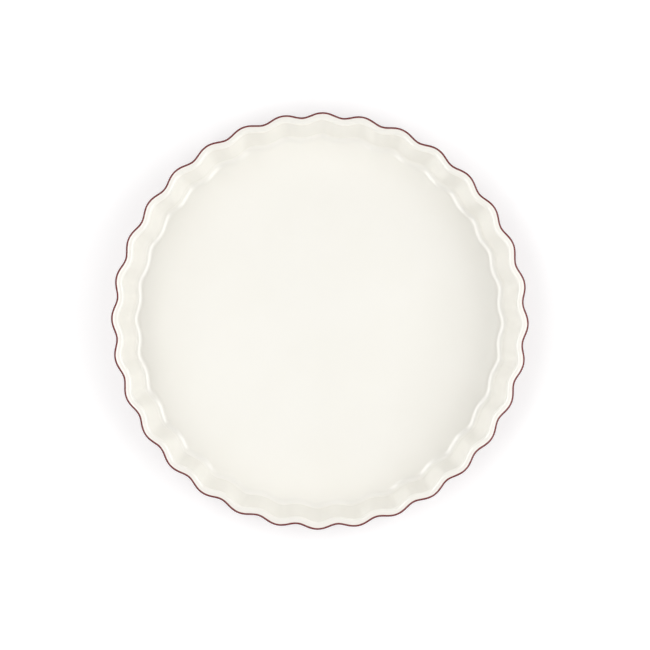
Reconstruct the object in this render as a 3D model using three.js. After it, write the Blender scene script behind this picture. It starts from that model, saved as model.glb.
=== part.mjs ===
// A fluted tart dish in glazed stoneware, in millimetres, +Z up.
// The origin is the centre of the ring that the dish stands on.
// The dish is one fired clay body with three coats of glaze fused to it: cream inside and over
// the lip, dark red outside, and dark red again under the floor. The foot ring is bare clay.
import * as THREE from "three";
import { mergeVertices } from "three/addons/utils/BufferGeometryUtils.js";

// Overall sizes, with the glaze included.
const OVERALL_DIAMETER = 280; // across opposite flute crests at the rim
const HEIGHT = 40; // from the table to the top of the lip

// The flutes, pressed alike into the outside and the inside of the wall.
const FLUTES = 32;
const FLUTE_DEPTH = 3; // from crest to valley, at the rim
const FLUTE_TAPER = 0.35; // share of that depth that is lost from the rim down to the table
const CREST_FLATTENING = 0.11; // how far a crest's shoulders stand out from a plain wave

// The wall, the lip and the floor.
const WALL = 5.4; // thickness square to the wall
const WALL_LEAN = 13.5; // degrees from upright, the rim wider than the floor
const LIP_OUTER_RADIUS = 1.8;
const LIP_INNER_RADIUS = 2.4;
const FLOOR = 6; // thickness
const FLOOR_FILLET = 5; // between the floor and the inside of the wall
const HEEL_RADIUS = 6; // between the underside and the outside of the wall

// The foot ring under the floor.
const FOOT_HEIGHT = 2;
const FOOT_WIDTH = 6;
const FOOT_INSET = 8; // from the end of the heel's curve to the ring's outer side

// The glaze.
const GLAZE = 0.35; // thickness of every coat
const RIM_LINE = 1.25; // width of dark red that shows round the lip from above
const BARE_MARGIN = 1.5; // clay left bare on either side of the foot ring
const HAIRLINE = 0.02; // left between a coat and what it meets, so that no two solids cut into each other

// Fineness of the facets.
const STEPS_PER_FLUTE = 6;
const STEPS_PER_CURVE = 2;

const SEGMENTS = FLUTES * STEPS_PER_FLUTE;
const crest = FLUTE_DEPTH / 2;
const lean = THREE.MathUtils.degToRad(WALL_LEAN);
const QUARTER = Math.PI / 2;
const floorTop = FOOT_HEIGHT + FLOOR;
const lipOuter = Math.min(LIP_OUTER_RADIUS, WALL / 3);
const lipInner = Math.min(LIP_INNER_RADIUS, WALL / 2);

// Radii are taken midway between crest and valley. The straight line of the wall's outside would
// reach the lip's height at wallTop, a little further out than the rounded lip does.
const outermost = OVERALL_DIAMETER / 2 - crest;
const wallTop = outermost + lipOuter * ((1 + Math.sin(lean)) / Math.cos(lean) - 1);

// The radius at a height, on the line that lies a given distance in from the wall's outside.
function wallRadius(height, inset) {
  return wallTop - (HEIGHT - height) * Math.tan(lean) - inset / Math.cos(lean);
}

// Centres of the section's four curves.
const lipOuterCentre = new THREE.Vector2(wallRadius(HEIGHT - lipOuter, lipOuter), HEIGHT - lipOuter);
const lipInnerCentre = new THREE.Vector2(wallRadius(HEIGHT - lipInner, WALL - lipInner), HEIGHT - lipInner);
const filletHeight = floorTop + FLOOR_FILLET;
const filletCentre = new THREE.Vector2(wallRadius(filletHeight, WALL + FLOOR_FILLET), filletHeight);
const heelHeight = FOOT_HEIGHT + HEEL_RADIUS;
const heelCentre = new THREE.Vector2(wallRadius(heelHeight, HEEL_RADIUS), heelHeight);

const footOuter = heelCentre.x - FOOT_INSET;
const footInner = footOuter - FOOT_WIDTH;
const rimLineAngle = Math.acos(1 - RIM_LINE / lipOuter);
const coatBack = GLAZE - HAIRLINE;

function pointOn(centre, radius, angle) {
  return new THREE.Vector2(centre.x + radius * Math.cos(angle), centre.y + radius * Math.sin(angle));
}

function curve(centre, radius, from, to) {
  const points = [];
  for (let step = 0; step <= STEPS_PER_CURVE; step++) {
    points.push(pointOn(centre, radius, THREE.MathUtils.lerp(from, to, step / STEPS_PER_CURVE)));
  }
  return points;
}

// The section's lines, each in the order that runs anticlockwise round the clay. A depth of 0 gives
// the surface of the glaze, and a depth of GLAZE gives the clay under it.

// From the end of the outside glaze, round the heel and up the wall to the lip's outermost point,
// and over that to the rim line.
function outsideLine(depth, end = rimLineAngle) {
  return [
    new THREE.Vector2(footOuter + BARE_MARGIN, FOOT_HEIGHT + depth),
    ...curve(heelCentre, HEEL_RADIUS - depth, -QUARTER, -lean),
    ...curve(lipOuterCentre, lipOuter - depth, 0, end),
  ];
}

// From the rim line over the lip, down the wall and across the floor to its centre.
function insideLine(depth) {
  return [
    pointOn(lipOuterCentre, lipOuter - depth, rimLineAngle),
    pointOn(lipOuterCentre, lipOuter - depth, QUARTER),
    ...curve(lipInnerCentre, lipInner - depth, QUARTER, Math.PI - lean),
    ...curve(filletCentre, FLOOR_FILLET + depth, -lean, -QUARTER),
    new THREE.Vector2(0, floorTop - depth),
  ];
}

// From the underside's centre to the end of its glaze, inside the foot ring.
function undersideLine(depth) {
  return [
    new THREE.Vector2(0, FOOT_HEIGHT + depth),
    new THREE.Vector2(footInner - BARE_MARGIN, FOOT_HEIGHT + depth),
  ];
}

// The bare foot ring, from its inner side to its outer side.
const footLine = [
  new THREE.Vector2(footInner, FOOT_HEIGHT + GLAZE),
  new THREE.Vector2(footInner, 0),
  new THREE.Vector2(footOuter, 0),
  new THREE.Vector2(footOuter, FOOT_HEIGHT + GLAZE),
];

// How far the flutes move a point of the turned section in or out. They are deepest at the rim, and
// fade out across the flat of the floor, between the foot ring and the fillet, so the foot is round.
// Inside the wall, a surface at an even distance from the outside has tighter crests and wider
// valleys, which the second wave gives.
function fluteShift(point, angle) {
  const fade = THREE.MathUtils.smoothstep(point.x, footOuter, filletCentre.x);
  const strength = fade * (1 - FLUTE_TAPER * (1 - point.y / HEIGHT));
  const inset = wallRadius(point.y, 0) - point.x;
  const tightening = (inset * (crest * FLUTES) ** 2) / (4 * outermost ** 2) - CREST_FLATTENING;
  const phase = FLUTES * angle;
  return strength * (crest * Math.cos(phase) + tightening * (Math.cos(2 * phase) - 1));
}

// A section turned round the dish's axis, with the flutes pressed into it. Each four-cornered facet
// is split along its shorter diagonal, so that two pieces that touch are split alike.
function flutedSolid(section) {
  const turned = new THREE.LatheGeometry(section, SEGMENTS);
  turned.deleteAttribute("normal");
  turned.deleteAttribute("uv");
  const position = turned.getAttribute("position");
  const corners = [];
  for (let i = 0; i < position.count; i++) {
    const point = section[i % section.length];
    const column = Math.floor(i / section.length) % SEGMENTS;
    const angle = (2 * Math.PI * column) / SEGMENTS;
    const radius = point.x + fluteShift(point, angle);
    position.setXYZ(i, radius * Math.cos(angle), radius * Math.sin(angle), point.y);
    corners.push(new THREE.Vector3().fromBufferAttribute(position, i));
  }
  const index = turned.getIndex();
  for (let i = 0; i < index.count; i += 6) {
    const [a, b, d, c] = index.array.slice(i, i + 4);
    if (corners[a].distanceTo(corners[c]) < corners[b].distanceTo(corners[d])) {
      index.array.set([a, b, c, a, c, d], i);
    }
  }
  return mergeVertices(turned);
}

function piece(name, geometry, finish) {
  geometry.computeVertexNormals();
  const mesh = new THREE.Mesh(geometry, new THREE.MeshStandardMaterial(finish));
  mesh.name = name;
  return mesh;
}

const bareClay = { color: 0xcbb89a, roughness: 0.9 };
const creamGlaze = { color: 0xf6f3e9, roughness: 0.18 };
const darkRedGlaze = { color: 0x5a1a1e, roughness: 0.16 };

// The clay body: floor, fluted wall, lip and foot ring in one fired piece.
const bodySection = [
  ...undersideLine(GLAZE),
  ...footLine,
  ...outsideLine(GLAZE),
  ...insideLine(GLAZE).slice(1),
];
const stonewareBody = piece("stoneware_body", flutedSolid(bodySection), bareClay);

// The cream coat lies on the floor and the wall, and ends at the rim line on the lip's outer edge.
const insideSection = [...insideLine(coatBack).reverse(), ...insideLine(0)];
const insideGlaze = piece("inside_glaze", flutedSolid(insideSection), creamGlaze);

// The dark red coat starts at the rim line and stops just short of the foot ring.
const redEdge = rimLineAngle - HAIRLINE / (lipOuter - GLAZE);
const outsideFront = outsideLine(0, redEdge);
const outsideSection = [...outsideFront, ...outsideLine(coatBack, redEdge).reverse(), outsideFront[0]];
const outsideGlaze = piece("outside_glaze", flutedSolid(outsideSection), darkRedGlaze);

// The dark red coat under the floor fills the circle inside the foot ring.
const undersideSection = [...undersideLine(0), ...undersideLine(coatBack).reverse()];
const undersideGlaze = piece("underside_glaze", flutedSolid(undersideSection), darkRedGlaze);

const tartDish = new THREE.Group();
tartDish.name = "tart_dish";
tartDish.add(stonewareBody, insideGlaze, outsideGlaze, undersideGlaze);

export default tartDish;
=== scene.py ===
from math import acos, cos, pi, radians, sin, tan

import bpy
from mathutils import Matrix, Vector


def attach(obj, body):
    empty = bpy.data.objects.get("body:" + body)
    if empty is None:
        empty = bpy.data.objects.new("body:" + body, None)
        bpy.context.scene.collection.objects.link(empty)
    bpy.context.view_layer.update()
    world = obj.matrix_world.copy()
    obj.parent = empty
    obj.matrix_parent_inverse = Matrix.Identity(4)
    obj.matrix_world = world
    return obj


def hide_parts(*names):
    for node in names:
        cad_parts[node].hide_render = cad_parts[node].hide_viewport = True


# A fluted tart dish in glazed stoneware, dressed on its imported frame. Lengths are in metres and +Z is
# up. The dish stands on the origin, and a flute crest lies on +X.
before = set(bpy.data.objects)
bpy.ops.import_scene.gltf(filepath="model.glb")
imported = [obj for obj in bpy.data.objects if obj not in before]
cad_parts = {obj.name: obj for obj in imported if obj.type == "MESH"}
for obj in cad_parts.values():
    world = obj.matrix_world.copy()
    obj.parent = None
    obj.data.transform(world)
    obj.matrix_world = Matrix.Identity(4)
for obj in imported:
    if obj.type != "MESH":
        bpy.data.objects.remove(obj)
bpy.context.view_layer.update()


# Stoneware body: floor, fluted wall, lip and foot ring, pressed in one piece of buff clay and fired.
# The coats of glaze hide all of it but the foot ring, which is wiped bare before the firing so that
# the dish doesn't fuse to the kiln shelf.
OVERALL_DIAMETER = 0.280
RIM_HEIGHT = 0.040
FLUTES = 32
FLUTE_DEPTH = 0.003  # at the rim
FLUTE_TAPER = 0.35  # share of that depth that is lost from the rim down to the table
CREST_FLATTENING = 0.00011  # how far a crest's shoulders stand out from a plain wave
WALL = 0.0054  # thickness square to the wall
LEAN = radians(13.5)  # of the wall from upright
LIP_OUTER_RADIUS = 0.0018
LIP_INNER_RADIUS = 0.0024
FLOOR = 0.006  # thickness
FLOOR_FILLET = 0.005
HEEL_RADIUS = 0.006
FOOT_HEIGHT = 0.002
FOOT_WIDTH = 0.006
FOOT_INSET = 0.008  # from the heel's start in to the ring's outer side
FOOT_EDGE_RADIUS = 0.0008
FOOT_ROOT_RADIUS = 0.0005
GLAZE = 0.00035  # thickness of every coat
RIM_LINE = 0.00125  # width of dark red that shows round the lip from above
BARE_MARGIN = 0.0015  # clay left bare on either side of the foot ring

# How fine the mesh is.
STEPS_PER_FLUTE = 24
CURVE_STEPS = 12
HIDDEN_CURVE_STEPS = 4
SMALL_CURVE_STEPS = 4
FOOT_EDGE_STEPS = 6
WALL_STEPS = 6
FADE_RINGS = (0.75, 0.5, 0.25, 0)  # shares of the way out from the foot ring to the fillet
DISC_RINGS = (0.66, 0.33, 0)  # shares of the foot ring's outer radius
SUPPORT_GAP = 0.0004  # from a curve's end to the ring that keeps the shading of the flat beside it clean
MERGE_DISTANCE = 1e-6
SHARP_ANGLE = radians(40)

QUARTER = pi / 2
floor_top = FOOT_HEIGHT + FLOOR
outermost = OVERALL_DIAMETER / 2 - FLUTE_DEPTH / 2
wall_top = outermost + LIP_OUTER_RADIUS * ((1 + sin(LEAN)) / cos(LEAN) - 1)


def on_wall(height, inset):
    """The section's point at a height, on the line a given distance in from the wall's outside."""
    return Vector((wall_top - (RIM_HEIGHT - height) * tan(LEAN) - inset / cos(LEAN), height))


lip_outer_centre = on_wall(RIM_HEIGHT - LIP_OUTER_RADIUS, LIP_OUTER_RADIUS)
lip_inner_centre = on_wall(RIM_HEIGHT - LIP_INNER_RADIUS, WALL - LIP_INNER_RADIUS)
fillet_centre = on_wall(floor_top + FLOOR_FILLET, WALL + FLOOR_FILLET)
heel_centre = on_wall(FOOT_HEIGHT + HEEL_RADIUS, HEEL_RADIUS)
rim_line_angle = acos(1 - RIM_LINE / LIP_OUTER_RADIUS)
foot_outer = heel_centre.x - FOOT_INSET
foot_inner = foot_outer - FOOT_WIDTH


def arc(centre, radius, start, end, steps):
    """Part of a circle in the section."""
    turns = [start + (end - start) * step / steps for step in range(steps + 1)]
    return [centre + radius * Vector((cos(turn), sin(turn))) for turn in turns]


def straight(start, end, steps):
    """The points between two ends of a straight stretch, with a ring close to either end."""
    edge = SUPPORT_GAP / (end - start).length
    shares = [edge, *[step / steps for step in range(1, steps)], 1 - edge]
    return [start.lerp(end, share) for share in shares]


def flat_rings(height):
    """A level disc's points from where the flutes begin to fade out to the axis."""
    span = fillet_centre.x - foot_outer
    radii = [foot_outer + span * share for share in FADE_RINGS]
    radii += [foot_outer * share for share in DISC_RINGS]
    return [Vector((radius, height)) for radius in radii]


# The section's lines run anticlockwise round the clay. A depth of 0 gives the surface of the glaze,
# and a depth of GLAZE the clay under it.
def outside_line(depth, steps, end=rim_line_angle):
    """From the heel's start up the outside of the wall to the rim line."""
    heel = arc(heel_centre, HEEL_RADIUS - depth, -QUARTER, -LEAN, steps)
    lip = arc(lip_outer_centre, LIP_OUTER_RADIUS - depth, -LEAN, end, steps)
    return [*heel, *straight(heel[-1], lip[0], WALL_STEPS), *lip]


def inside_line(depth, steps):
    """From the rim line over the lip, down the wall and across the floor to the axis."""
    crown = arc(lip_outer_centre, LIP_OUTER_RADIUS - depth, rim_line_angle, QUARTER, steps // 2)
    lip = arc(lip_inner_centre, LIP_INNER_RADIUS - depth, QUARTER, pi - LEAN, steps)
    fillet = arc(fillet_centre, FLOOR_FILLET + depth, -LEAN, -QUARTER, steps)
    floor = flat_rings(floor_top - depth)
    return [*crown, *lip, *straight(lip[-1], fillet[0], WALL_STEPS), *fillet, *floor]


def wire(tree, kind, inputs=None, **settings):
    """Adds a node, with its settings and what feeds each input: a value or another node's output."""
    node = tree.nodes.new(kind)
    for name, value in settings.items():
        setattr(node, name, value)
    for name, value in (inputs or {}).items():
        if isinstance(value, bpy.types.NodeSocket):
            tree.links.new(value, node.inputs[name])
        else:
            node.inputs[name].default_value = value
    return node


def sums(tree, operation, *values):
    """A sum in a tree, such as ADD or MULTIPLY."""
    return wire(tree, "ShaderNodeMath", dict(enumerate(values)), operation=operation).outputs[0]


def rise(tree, value, start, end):
    """A share that goes smoothly from 0 at the start of the value's range to 1 at its end."""
    inputs = {"Value": value, "From Min": start, "From Max": end}
    return wire(tree, "ShaderNodeMapRange", inputs, interpolation_type="SMOOTHSTEP").outputs["Result"]


def add_sockets(tree, in_out, sockets):
    """Gives a tree its named inputs or outputs."""
    for name, kind in sockets.items():
        tree.interface.new_socket(name, in_out=in_out, socket_type=kind)


# The fluted turning sweeps a section round the axis and presses the flutes into it. The flutes are
# deepest at the rim and fade out across the flat of the floor. Inside the wall, a surface at an even
# distance from the outside has tighter crests and wider valleys, which the second wave gives.
turning = bpy.data.node_groups.new("fluted_turning", "GeometryNodeTree")
add_sockets(turning, "INPUT", {
    "Section": "NodeSocketGeometry",
    "Flutes": "NodeSocketInt",
    "Steps per Flute": "NodeSocketInt",
    "Flute Depth": "NodeSocketFloat",
    "Flute Taper": "NodeSocketFloat",
    "Crest Flattening": "NodeSocketFloat",
    "Fade Start": "NodeSocketFloat",
    "Fade End": "NodeSocketFloat",
    "Wall Top": "NodeSocketFloat",
    "Rim Height": "NodeSocketFloat",
    "Wall Slope": "NodeSocketFloat",
    "Outermost": "NodeSocketFloat",
    "Sharp Angle": "NodeSocketFloat",
    "Material": "NodeSocketMaterial",
})
add_sockets(turning, "OUTPUT", {"Piece": "NodeSocketGeometry"})
given = wire(turning, "NodeGroupInput").outputs
section = given["Section"]
segments = sums(turning, "MULTIPLY", given["Flutes"], given["Steps per Flute"])
columns = sums(turning, "ADD", segments, 1)
rows = wire(turning, "GeometryNodeAttributeDomainSize", {0: section}).outputs["Point Count"]
sheet = wire(turning, "GeometryNodeMeshGrid", {"Vertices X": rows, "Vertices Y": columns}).outputs["Mesh"]
index = wire(turning, "GeometryNodeInputIndex").outputs[0]
row = wire(turning, "FunctionNodeIntegerMath", {0: index, 1: columns}, operation="DIVIDE").outputs[0]
column = wire(turning, "FunctionNodeIntegerMath", {0: index, 1: columns}, operation="MODULO").outputs[0]
place = wire(turning, "GeometryNodeInputPosition").outputs[0]
sampled = wire(
    turning, "GeometryNodeSampleIndex", {"Geometry": section, "Value": place, "Index": row},
    data_type="FLOAT_VECTOR",
)
gap = wire(turning, "GeometryNodeInputNamedAttribute", {"Name": "edge_gap"}, data_type="FLOAT").outputs[0]
sampled_gap = wire(
    turning, "GeometryNodeSampleIndex", {"Geometry": section, "Value": gap, "Index": row},
    data_type="FLOAT",
)
point = wire(turning, "ShaderNodeSeparateXYZ", {0: sampled.outputs[0]}).outputs
angle = sums(turning, "DIVIDE", sums(turning, "MULTIPLY", column, 2 * pi), segments)
phase = sums(turning, "MULTIPLY", angle, given["Flutes"])
wave = sums(turning, "COSINE", phase)
second_wave = sums(turning, "SUBTRACT", sums(turning, "COSINE", sums(turning, "MULTIPLY", phase, 2)), 1)
drop = sums(turning, "SUBTRACT", given["Rim Height"], point["Z"])
loss = sums(turning, "MULTIPLY", given["Flute Taper"], sums(turning, "DIVIDE", drop, given["Rim Height"]))
fade = rise(turning, point["X"], given["Fade Start"], given["Fade End"])
strength = sums(turning, "MULTIPLY", fade, sums(turning, "SUBTRACT", 1, loss))
crest = sums(turning, "DIVIDE", given["Flute Depth"], 2)
slope_in = sums(turning, "MULTIPLY", drop, given["Wall Slope"])
wall_line = sums(turning, "SUBTRACT", given["Wall Top"], slope_in)
inset = sums(turning, "SUBTRACT", wall_line, point["X"])
steepness = sums(turning, "DIVIDE", sums(turning, "MULTIPLY", crest, given["Flutes"]), given["Outermost"])
half_steepness = sums(turning, "DIVIDE", steepness, 2)
evenness = sums(turning, "MULTIPLY", inset, sums(turning, "POWER", half_steepness, 2))
tightening = sums(turning, "SUBTRACT", evenness, given["Crest Flattening"])
first_shift = sums(turning, "MULTIPLY", crest, wave)
shift = sums(turning, "ADD", first_shift, sums(turning, "MULTIPLY", tightening, second_wave))
radius = sums(turning, "ADD", point["X"], sums(turning, "MULTIPLY", shift, strength))
moved = wire(turning, "ShaderNodeCombineXYZ", {
    "X": sums(turning, "MULTIPLY", radius, sums(turning, "COSINE", angle)),
    "Y": sums(turning, "MULTIPLY", radius, sums(turning, "SINE", angle)),
    "Z": point["Z"],
})
swept = wire(turning, "GeometryNodeSetPosition", {"Geometry": sheet, "Position": moved.outputs[0]}).outputs[0]
for name, value in {
    "crest": sums(turning, "MULTIPLY", wave, strength),
    "edge_gap": sampled_gap.outputs[0],
}.items():
    inputs = {"Geometry": swept, "Name": name, "Value": value}
    swept = wire(turning, "GeometryNodeStoreNamedAttribute", inputs, data_type="FLOAT").outputs[0]
inputs = {"Geometry": swept, "Distance": MERGE_DISTANCE}
closed = wire(turning, "GeometryNodeMergeByDistance", inputs).outputs[0]
outward = wire(turning, "GeometryNodeFlipFaces", {0: closed}).outputs[0]
fold = wire(turning, "GeometryNodeInputMeshEdgeAngle").outputs["Unsigned Angle"]
soft = sums(turning, "LESS_THAN", fold, given["Sharp Angle"])
inputs = {0: outward, "Shade Smooth": True}
smooth = wire(turning, "GeometryNodeSetShadeSmooth", inputs, domain="FACE").outputs[0]
inputs = {0: smooth, "Shade Smooth": soft}
creased = wire(turning, "GeometryNodeSetShadeSmooth", inputs, domain="EDGE").outputs[0]
real = wire(turning, "GeometryNodeRealizeInstances", {0: creased}).outputs[0]
inputs = {"Geometry": real, "Material": given["Material"]}
finished = wire(turning, "GeometryNodeSetMaterial", inputs).outputs[0]
wire(turning, "NodeGroupOutput", {"Piece": finished})


def fluted_piece(name, line, coat_edges, material):
    """Turns a section into a piece. Each point keeps its distance from the nearest edge of a coat."""
    outline = bpy.data.meshes.new(name + "_section")
    joins = [(step, step + 1) for step in range(len(line) - 1)]
    outline.from_pydata([(spot.x, 0, spot.y) for spot in line], joins, [])
    gaps = [min((spot - edge).length for edge in coat_edges) for spot in line]
    outline.attributes.new("edge_gap", "FLOAT", "POINT").data.foreach_set("value", gaps)
    piece = bpy.data.objects.new(name, outline)
    bpy.context.scene.collection.objects.link(piece)
    modifier = piece.modifiers.new("fluted_turning", "NODES")
    modifier.node_group = turning
    sizes = {
        "Flutes": FLUTES,
        "Steps per Flute": STEPS_PER_FLUTE,
        "Flute Depth": FLUTE_DEPTH,
        "Flute Taper": FLUTE_TAPER,
        "Crest Flattening": CREST_FLATTENING,
        "Fade Start": foot_outer,
        "Fade End": fillet_centre.x,
        "Wall Top": wall_top,
        "Rim Height": RIM_HEIGHT,
        "Wall Slope": tan(LEAN),
        "Outermost": outermost,
        "Sharp Angle": SHARP_ANGLE,
        "Material": material,
    }
    for socket in turning.interface.items_tree:
        if socket.in_out == "INPUT" and socket.name in sizes:
            modifier[socket.identifier] = sizes[socket.name]
    graph = bpy.context.evaluated_depsgraph_get()
    mesh = bpy.data.meshes.new_from_object(
        piece.evaluated_get(graph), preserve_all_data_layers=True, depsgraph=graph
    )
    piece.modifiers.remove(modifier)
    piece.data = mesh
    mesh.name = name
    bpy.data.meshes.remove(outline)
    return piece


def mixed(tree, share, first, second):
    """A colour between two, all the second where the share is 1."""
    return wire(tree, "ShaderNodeMix", {0: share, 6: first, 7: second}, data_type="RGBA").outputs[2]


def noise(tree, vector, size, detail=2):
    """A soft random value from 0 to 1, whose patches are about the given size across."""
    inputs = {"Vector": vector, "Scale": 1 / size, "Detail": detail}
    return wire(tree, "ShaderNodeTexNoise", inputs).outputs[0]


def attribute(tree, name):
    """A value that the turning stored on the piece."""
    return wire(tree, "ShaderNodeAttribute", attribute_name=name).outputs["Fac"]


def bumped(tree, height, depth):
    """The surface's normal with a relief of the given depth pressed into it."""
    return wire(tree, "ShaderNodeBump", {"Strength": 1, "Distance": depth, "Height": height}).outputs[0]


def new_finish(name):
    """A material, its tree, its shader's inputs and the piece's own coordinates."""
    material = bpy.data.materials.new(name)
    material.use_nodes = True
    tree = material.node_tree
    shader = tree.nodes["Principled BSDF"].inputs
    spot = wire(tree, "ShaderNodeTexCoord").outputs["Object"]
    return material, tree, shader, spot


# Kiln specks are the dots of iron in the clay, which melt out through it and, faintly, through glaze.
SPECK_CORE = 0.4  # share of a speck's radius that has its full strength
kiln_specks = bpy.data.node_groups.new("kiln_specks", "ShaderNodeTree")
add_sockets(kiln_specks, "INPUT", {
    "Vector": "NodeSocketVector",
    "Spacing": "NodeSocketFloat",
    "Size": "NodeSocketFloat",
    "Share": "NodeSocketFloat",
})
add_sockets(kiln_specks, "OUTPUT", {"Mask": "NodeSocketFloat"})
given = wire(kiln_specks, "NodeGroupInput").outputs
frequency = sums(kiln_specks, "DIVIDE", 1, given["Spacing"])
inputs = {"Vector": given["Vector"], "Scale": frequency}
cells = wire(kiln_specks, "ShaderNodeTexVoronoi", inputs).outputs
reach = sums(kiln_specks, "DIVIDE", given["Size"], sums(kiln_specks, "MULTIPLY", given["Spacing"], 2))
core = sums(kiln_specks, "MULTIPLY", reach, SPECK_CORE)
dot = rise(kiln_specks, cells["Distance"], reach, core)
draw = wire(kiln_specks, "ShaderNodeSeparateColor", {0: cells["Color"]}).outputs[0]
chosen = sums(kiln_specks, "LESS_THAN", draw, given["Share"])
wire(kiln_specks, "NodeGroupOutput", {"Mask": sums(kiln_specks, "MULTIPLY", dot, chosen)})


def specks(tree, vector, spacing, size, share):
    """Kiln specks in a material: their spacing, their size and the share of places that have one."""
    inputs = {"Vector": vector, "Spacing": spacing, "Size": size, "Share": share}
    return wire(tree, "ShaderNodeGroup", inputs, node_tree=kiln_specks).outputs["Mask"]


BUFF = (0.60, 0.48, 0.325, 1)
PALE_BUFF = (0.68, 0.57, 0.41, 1)
PATCH_SIZE = 0.018
PATCH_RANGE = (0.35, 0.65)  # of the noise, from buff to pale buff
TOASTED = (0.42, 0.25, 0.12, 1)
TOAST_RANGE = (0.0016, 0.0001)  # distance from a coat's edge, from no toasting to the most
TOAST_STRENGTH = 0.7
IRON = (0.16, 0.09, 0.05, 1)
IRON_SPACING = 0.0018
IRON_SIZE = 0.0009
IRON_SHARE = 0.35
IRON_STRENGTH = 0.75
GRAIN_SIZE = 0.0006
GRAIN_RELIEF = 0.00006
CLAY_ROUGHNESS = 0.78
GRAIN_ROUGHNESS = 0.18  # added where the grain stands highest
bare_clay, tree, shader, spot = new_finish("bare_clay")
patches = rise(tree, noise(tree, spot, PATCH_SIZE, detail=4), *PATCH_RANGE)
colour = mixed(tree, patches, BUFF, PALE_BUFF)
toast = rise(tree, attribute(tree, "edge_gap"), *TOAST_RANGE)
colour = mixed(tree, sums(tree, "MULTIPLY", toast, TOAST_STRENGTH), colour, TOASTED)
dots = specks(tree, spot, IRON_SPACING, IRON_SIZE, IRON_SHARE)
colour = mixed(tree, sums(tree, "MULTIPLY", dots, IRON_STRENGTH), colour, IRON)
tree.links.new(colour, shader["Base Color"])
grain = noise(tree, spot, GRAIN_SIZE, detail=3)
roughness = sums(tree, "ADD", CLAY_ROUGHNESS, sums(tree, "MULTIPLY", grain, GRAIN_ROUGHNESS))
tree.links.new(roughness, shader["Roughness"])
tree.links.new(bumped(tree, grain, GRAIN_RELIEF), shader["Normal"])

clay_under = FOOT_HEIGHT + GLAZE
underside_edge = Vector((foot_inner - BARE_MARGIN, clay_under))
outside_edge = Vector((foot_outer + BARE_MARGIN, clay_under))
inner_root = Vector((foot_inner - FOOT_ROOT_RADIUS, clay_under - FOOT_ROOT_RADIUS))
inner_tread = Vector((foot_inner + FOOT_EDGE_RADIUS, FOOT_EDGE_RADIUS))
outer_tread = Vector((foot_outer - FOOT_EDGE_RADIUS, FOOT_EDGE_RADIUS))
outer_root = Vector((foot_outer + FOOT_ROOT_RADIUS, clay_under - FOOT_ROOT_RADIUS))
foot_section = [
    *arc(inner_root, FOOT_ROOT_RADIUS, QUARTER, 0, SMALL_CURVE_STEPS),
    *arc(inner_tread, FOOT_EDGE_RADIUS, pi, 3 * QUARTER, FOOT_EDGE_STEPS),
    *arc(outer_tread, FOOT_EDGE_RADIUS, -QUARTER, 0, FOOT_EDGE_STEPS),
    *arc(outer_root, FOOT_ROOT_RADIUS, pi, QUARTER, SMALL_CURVE_STEPS),
]
body_section = [
    Vector((0, clay_under)),
    underside_edge,
    *foot_section,
    outside_edge,
    *outside_line(GLAZE, HIDDEN_CURVE_STEPS),
    *inside_line(GLAZE, HIDDEN_CURVE_STEPS)[1:],
]
stoneware_body = fluted_piece("stoneware", body_section, [underside_edge, outside_edge], bare_clay)
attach(stoneware_body, "root")
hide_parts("stoneware_body")


# Inside glaze: the cream coat that is poured into the dish, swilled round and poured out, so it lies
# on the floor, the wall and the lip. It ends at the lip's outer edge, where the dark red coat meets it.
HAIRLINE = 0.00002  # left between a coat and what it meets
CREAM = (0.94, 0.922, 0.865, 1)
DEEP_CREAM = (0.93, 0.911, 0.85, 1)
DRIFT_SIZE = 0.05
DRIFT_RANGE = (0.35, 0.7)  # of the noise, from cream to deep cream
LIP_CREAM = (0.89, 0.85, 0.785, 1)
THIN_RANGE = (0.005, 0.0004)  # distance from the rim line, from the full coat to the thinnest
THIN_STRENGTH = 0.5
LINE_STAIN = (0.30, 0.06, 0.05, 1)
STAIN_RANGE = (0.00015, -0.0002)  # distance from the wandering line, from no stain to the most
STAIN_STRENGTH = 0.8
WANDER_SIZE = 0.004
WANDER = 0.0004  # how far the line strays
PALE_SPECK = (0.60, 0.50, 0.36, 1)
PALE_SPECK_SPACING = 0.011
PALE_SPECK_SIZE = 0.0009
PALE_SPECK_SHARE = 0.4
PALE_SPECK_STRENGTH = 0.12
CREAM_RIPPLE = 0.004
CREAM_PINHOLES = 0.25
CREAM_RELIEF = 0.00001
CREAM_ROUGHNESS = 0.12
CREAM_KEENNESS = 0.04  # roughness taken off where the gloss is keenest
CREAM_IOR = 1.95
coat_back = GLAZE - HAIRLINE

# Glaze skin is the faint ripple and the pinholes of melted glass, and its patches of keener gloss. The
# pinholes are laid out like kiln specks.
PINHOLE_SPACING = 0.006
PINHOLE_SIZE = 0.0007
GLOSS_PATCH = 0.03
GLOSS_RANGE = (0.3, 0.7)  # of the noise, from the plain gloss to the keenest
glaze_skin = bpy.data.node_groups.new("glaze_skin", "ShaderNodeTree")
add_sockets(glaze_skin, "INPUT", {
    "Vector": "NodeSocketVector",
    "Ripple Size": "NodeSocketFloat",
    "Pinhole Share": "NodeSocketFloat",
})
add_sockets(glaze_skin, "OUTPUT", {"Height": "NodeSocketFloat", "Gloss": "NodeSocketFloat"})
given = wire(glaze_skin, "NodeGroupInput").outputs
frequency = sums(glaze_skin, "DIVIDE", 1, given["Ripple Size"])
inputs = {"Vector": given["Vector"], "Scale": frequency, "Detail": 1}
ripple = wire(glaze_skin, "ShaderNodeTexNoise", inputs).outputs[0]
pinholes = specks(glaze_skin, given["Vector"], PINHOLE_SPACING, PINHOLE_SIZE, given["Pinhole Share"])
gloss_patches = noise(glaze_skin, given["Vector"], GLOSS_PATCH, detail=3)
wire(glaze_skin, "NodeGroupOutput", {
    "Height": sums(glaze_skin, "SUBTRACT", ripple, pinholes),
    "Gloss": rise(glaze_skin, gloss_patches, *GLOSS_RANGE),
})


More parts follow.
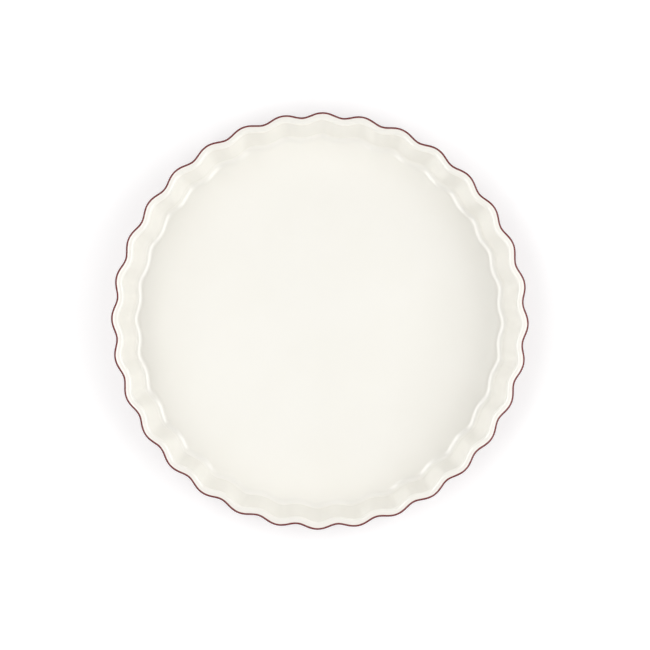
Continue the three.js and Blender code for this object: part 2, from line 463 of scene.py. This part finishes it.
def skin(tree, vector, ripple_size, pinhole_share):
    """Glaze skin in a material: its height, and where its gloss is keener."""
    inputs = {"Vector": vector, "Ripple Size": ripple_size, "Pinhole Share": pinhole_share}
    group = wire(tree, "ShaderNodeGroup", inputs, node_tree=glaze_skin)
    return group.outputs["Height"], group.outputs["Gloss"]


cream_glaze, tree, shader, spot = new_finish("cream_glaze")
drift = rise(tree, noise(tree, spot, DRIFT_SIZE, detail=3), *DRIFT_RANGE)
colour = mixed(tree, drift, CREAM, DEEP_CREAM)
edge_gap = attribute(tree, "edge_gap")
thin = rise(tree, edge_gap, *THIN_RANGE)
colour = mixed(tree, sums(tree, "MULTIPLY", thin, THIN_STRENGTH), colour, LIP_CREAM)
wander = sums(tree, "MULTIPLY", noise(tree, spot, WANDER_SIZE), WANDER)
stain = rise(tree, sums(tree, "SUBTRACT", edge_gap, wander), *STAIN_RANGE)
colour = mixed(tree, sums(tree, "MULTIPLY", stain, STAIN_STRENGTH), colour, LINE_STAIN)
dots = specks(tree, spot, PALE_SPECK_SPACING, PALE_SPECK_SIZE, PALE_SPECK_SHARE)
colour = mixed(tree, sums(tree, "MULTIPLY", dots, PALE_SPECK_STRENGTH), colour, PALE_SPECK)
tree.links.new(colour, shader["Base Color"])
height, gloss = skin(tree, spot, CREAM_RIPPLE, CREAM_PINHOLES)
roughness = sums(tree, "SUBTRACT", CREAM_ROUGHNESS, sums(tree, "MULTIPLY", gloss, CREAM_KEENNESS))
tree.links.new(roughness, shader["Roughness"])
shader["IOR"].default_value = CREAM_IOR
tree.links.new(bumped(tree, height, CREAM_RELIEF), shader["Normal"])

inside_front = inside_line(0, CURVE_STEPS)
rim_line_point = inside_front[0]
inside_section = [*reversed(inside_line(coat_back, HIDDEN_CURVE_STEPS)), *inside_front]
inside_glaze = fluted_piece("cream_coat", inside_section, [rim_line_point], cream_glaze)
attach(inside_glaze, "root")
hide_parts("inside_glaze")


# Outside glaze: the dark red coat on the wall's outside, which the dish is dipped in. Its upper edge is
# the thin line round the lip, and its lower edge rolls under the heel and stops short of the foot ring.
DARK_RED = (0.098, 0.0085, 0.0125, 1)
POOLED_RED = (0.062, 0.0055, 0.0095, 1)
BREAKING_RED = (0.140, 0.0125, 0.0150, 1)
CREST_STRENGTH = 0.5  # how far the coat thins on a crest and pools in a valley
RUN_STRENGTH = 0.4
RUN_WIDTH = 0.0035
RUN_SQUEEZE = 0.12  # of height in the runs' noise, which draws them out down the wall
NOISE_MIDDLE = 0.5
POOLED_RANGE = (-0.1, -0.65)  # of thinness, from dark red to pooled
BREAKING_RANGE = (0.15, 0.75)  # of thinness, from dark red to breaking
EDGE_RED = (0.160, 0.0095, 0.0115, 1)
EDGE_RANGE = (0.0026, 0.0006)  # distance from the coat's edges, from the full coat to the thinnest
EDGE_STRENGTH = 0.9
RED_RIPPLE = 0.003
RED_PINHOLES = 0.3
RED_RELIEF = 0.000012
RED_ROUGHNESS = 0.17
RED_KEENNESS = 0.07
RED_IOR = 1.5

dark_red_glaze, tree, shader, spot = new_finish("dark_red_glaze")
parts = wire(tree, "ShaderNodeSeparateXYZ", {0: spot}).outputs
squeezed = sums(tree, "MULTIPLY", parts["Z"], RUN_SQUEEZE)
inputs = {"X": parts["X"], "Y": parts["Y"], "Z": squeezed}
drawn_out = wire(tree, "ShaderNodeCombineXYZ", inputs).outputs[0]
streaks = noise(tree, drawn_out, RUN_WIDTH)
crest_share = sums(tree, "MULTIPLY", attribute(tree, "crest"), CREST_STRENGTH)
runs = sums(tree, "MULTIPLY", sums(tree, "SUBTRACT", streaks, NOISE_MIDDLE), RUN_STRENGTH)
thinness = sums(tree, "ADD", crest_share, runs)
colour = mixed(tree, rise(tree, thinness, *POOLED_RANGE), DARK_RED, POOLED_RED)
colour = mixed(tree, rise(tree, thinness, *BREAKING_RANGE), colour, BREAKING_RED)
thin_edge = rise(tree, attribute(tree, "edge_gap"), *EDGE_RANGE)
colour = mixed(tree, sums(tree, "MULTIPLY", thin_edge, EDGE_STRENGTH), colour, EDGE_RED)
tree.links.new(colour, shader["Base Color"])
height, gloss = skin(tree, spot, RED_RIPPLE, RED_PINHOLES)
roughness = sums(tree, "SUBTRACT", RED_ROUGHNESS, sums(tree, "MULTIPLY", gloss, RED_KEENNESS))
tree.links.new(roughness, shader["Roughness"])
shader["IOR"].default_value = RED_IOR
tree.links.new(bumped(tree, height, RED_RELIEF), shader["Normal"])

red_edge = rim_line_angle - HAIRLINE / (LIP_OUTER_RADIUS - GLAZE)
roll_centre = Vector((outside_edge.x + coat_back, FOOT_HEIGHT + coat_back))
outside_section = [
    *arc(roll_centre, coat_back, pi, 3 * QUARTER, SMALL_CURVE_STEPS),
    *outside_line(0, CURVE_STEPS, red_edge),
    *reversed(outside_line(coat_back, HIDDEN_CURVE_STEPS, red_edge)),
    Vector((outside_edge.x, FOOT_HEIGHT + coat_back)),
]
red_edges = [rim_line_point, outside_edge]
outside_glaze = fluted_piece("dark_red_coat", outside_section, red_edges, dark_red_glaze)
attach(outside_glaze, "root")
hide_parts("outside_glaze")


# Underside glaze: the same dark red coat in the shallow recess inside the foot ring, poured on with the
# dish upside down. Its edge is rolled where the bare margin was wiped.
inner_roll_centre = Vector((underside_edge.x - coat_back, FOOT_HEIGHT + coat_back))
underside_section = [
    Vector((0, FOOT_HEIGHT)),
    Vector((inner_roll_centre.x / 2, FOOT_HEIGHT)),
    Vector((inner_roll_centre.x - SUPPORT_GAP, FOOT_HEIGHT)),
    *arc(inner_roll_centre, coat_back, -QUARTER, 0, SMALL_CURVE_STEPS),
    Vector((0, FOOT_HEIGHT + coat_back)),
]
underside_glaze = fluted_piece("dark_red_base_coat", underside_section, [underside_edge], dark_red_glaze)
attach(underside_glaze, "root")
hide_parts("underside_glaze")


# Studio: a pale floor that runs out to white, a dim even surround, a tall soft box on either side of the
# dish in three bands, and two low cards, one behind the dish and one before it. The boxes give the line
# of light along the fillet and the soft shade at the floor's left and right. The cards light the wall.
FLOOR_REACH = 20.0  # from the dish's axis to the floor's sides
SHADE_REACH = 0.4  # from the dish's axis, as far as the floor shows the light that falls on it
WHITE_REACH = 1.2  # where the floor has run out to white
FLOOR_PALE = (0.8, 0.8, 0.8, 1)
FLOOR_GLOW = 0.36  # added to that light, where 1 would be white
WHITE = (1, 1, 1, 1)
SURROUND = 0.20  # brightness, where 1 would be white
LAMP_DISTANCE = 1.2
WHITE_LAMP = 4.0  # watts for each square metre of a lamp that looks white

floor_mesh = bpy.data.meshes.new("studio_floor")
corners = [(-1, -1), (1, -1), (1, 1), (-1, 1)]
floor_mesh.from_pydata([(FLOOR_REACH * x, FLOOR_REACH * y, 0) for x, y in corners], [], [(0, 1, 2, 3)])
floor = bpy.data.objects.new("studio_floor", floor_mesh)
bpy.context.scene.collection.objects.link(floor)
pale_floor = bpy.data.materials.new("pale_floor")
pale_floor.use_nodes = True
pale_floor.cycles.emission_sampling = "NONE"
tree = pale_floor.node_tree
tree.nodes.clear()
matt = wire(tree, "ShaderNodeBsdfDiffuse", {"Color": FLOOR_PALE}).outputs[0]
ray = wire(tree, "ShaderNodeLightPath").outputs
seen = sums(tree, "MAXIMUM", ray["Is Camera Ray"], ray["Is Glossy Ray"])
seen = sums(tree, "MAXIMUM", seen, ray["Is Transmission Ray"])
place = wire(tree, "ShaderNodeTexCoord").outputs["Object"]
distance = wire(tree, "ShaderNodeVectorMath", {0: place}, operation="LENGTH").outputs["Value"]
whitening = sums(tree, "MULTIPLY", rise(tree, distance, SHADE_REACH, WHITE_REACH), 1 - FLOOR_GLOW)
strength = sums(tree, "MULTIPLY", seen, sums(tree, "ADD", whitening, FLOOR_GLOW))
glow = wire(tree, "ShaderNodeEmission", {"Strength": strength}).outputs[0]
upper_face = wire(tree, "ShaderNodeAddShader", {0: matt, 1: glow}).outputs[0]
lower_face = wire(tree, "ShaderNodeBsdfTransparent").outputs[0]
behind = wire(tree, "ShaderNodeNewGeometry").outputs["Backfacing"]
floor_shader = wire(tree, "ShaderNodeMixShader", {0: behind, 1: upper_face, 2: lower_face}).outputs[0]
wire(tree, "ShaderNodeOutputMaterial", {"Surface": floor_shader})
floor_mesh.materials.append(pale_floor)

surround = bpy.data.worlds.new("surround")
surround.use_nodes = True
surround.cycles.sampling_method = "NONE"
background = surround.node_tree.nodes["Background"].inputs
background["Color"].default_value = WHITE
background["Strength"].default_value = SURROUND
bpy.context.scene.world = surround


def soft_box(name, bearing, low, high, spread, level):
    """A flat lamp that spans two elevations and a spread on either side of its bearing, in degrees."""
    middle = radians((low + high) / 2)
    lamp = bpy.data.lights.new(name, "AREA")
    lamp.shape = "RECTANGLE"
    lamp.size = 2 * LAMP_DISTANCE * tan(radians((high - low) / 2))
    lamp.size_y = 2 * LAMP_DISTANCE * cos(middle) * tan(radians(spread))
    lamp.energy = level * WHITE_LAMP * lamp.size * lamp.size_y
    holder = bpy.data.objects.new(name, lamp)
    turn = Matrix.Rotation(radians(bearing), 4, "Z") @ Matrix.Rotation(QUARTER - middle, 4, "Y")
    holder.matrix_world = turn @ Matrix.Translation((0, 0, LAMP_DISTANCE))
    holder.visible_camera = False
    bpy.context.scene.collection.objects.link(holder)


soft_box("left_high", bearing=180, low=60, high=80, spread=50, level=1.41)
soft_box("left_core", bearing=180, low=46, high=60, spread=50, level=2.05)
soft_box("left_low", bearing=180, low=24, high=46, spread=50, level=0.95)
soft_box("right_high", bearing=-4, low=56, high=80, spread=44, level=0.81)
soft_box("right_core", bearing=-4, low=40, high=56, spread=40, level=2.15)
soft_box("right_low", bearing=-4, low=22, high=40, spread=46, level=1.72)
soft_box("back_card", bearing=90, low=8, high=30, spread=38, level=0.67)
soft_box("front_card", bearing=-90, low=8, high=30, spread=38, level=0.55)


# Camera: it looks down from almost straight above, a little to the left of the dish's axis.
PICTURE_WIDTH = 0.4349  # of the view, at the height of the rim
CAMERA_HEIGHT = 1.70  # above the rim
CAMERA_OFFSET = Vector((-0.014, 0))
AIM = Vector((0.00332, -0.00262, RIM_HEIGHT))
ROLL = radians(0.77)
SENSOR_WIDTH = 36  # millimetres
lens = bpy.data.cameras.new("camera")
lens.sensor_width = SENSOR_WIDTH
lens.lens = lens.sensor_width * CAMERA_HEIGHT / PICTURE_WIDTH
camera = bpy.data.objects.new("camera", lens)
stand = Vector((CAMERA_OFFSET.x, CAMERA_OFFSET.y, RIM_HEIGHT + CAMERA_HEIGHT))
tilt = Vector((0, 0, -1)).rotation_difference(AIM - stand)
camera.matrix_world = Matrix.Translation(stand) @ tilt.to_matrix().to_4x4() @ Matrix.Rotation(ROLL, 4, "Z")
bpy.context.scene.collection.objects.link(camera)
bpy.context.scene.camera = camera
bpy.context.scene.view_settings.view_transform = "Standard"
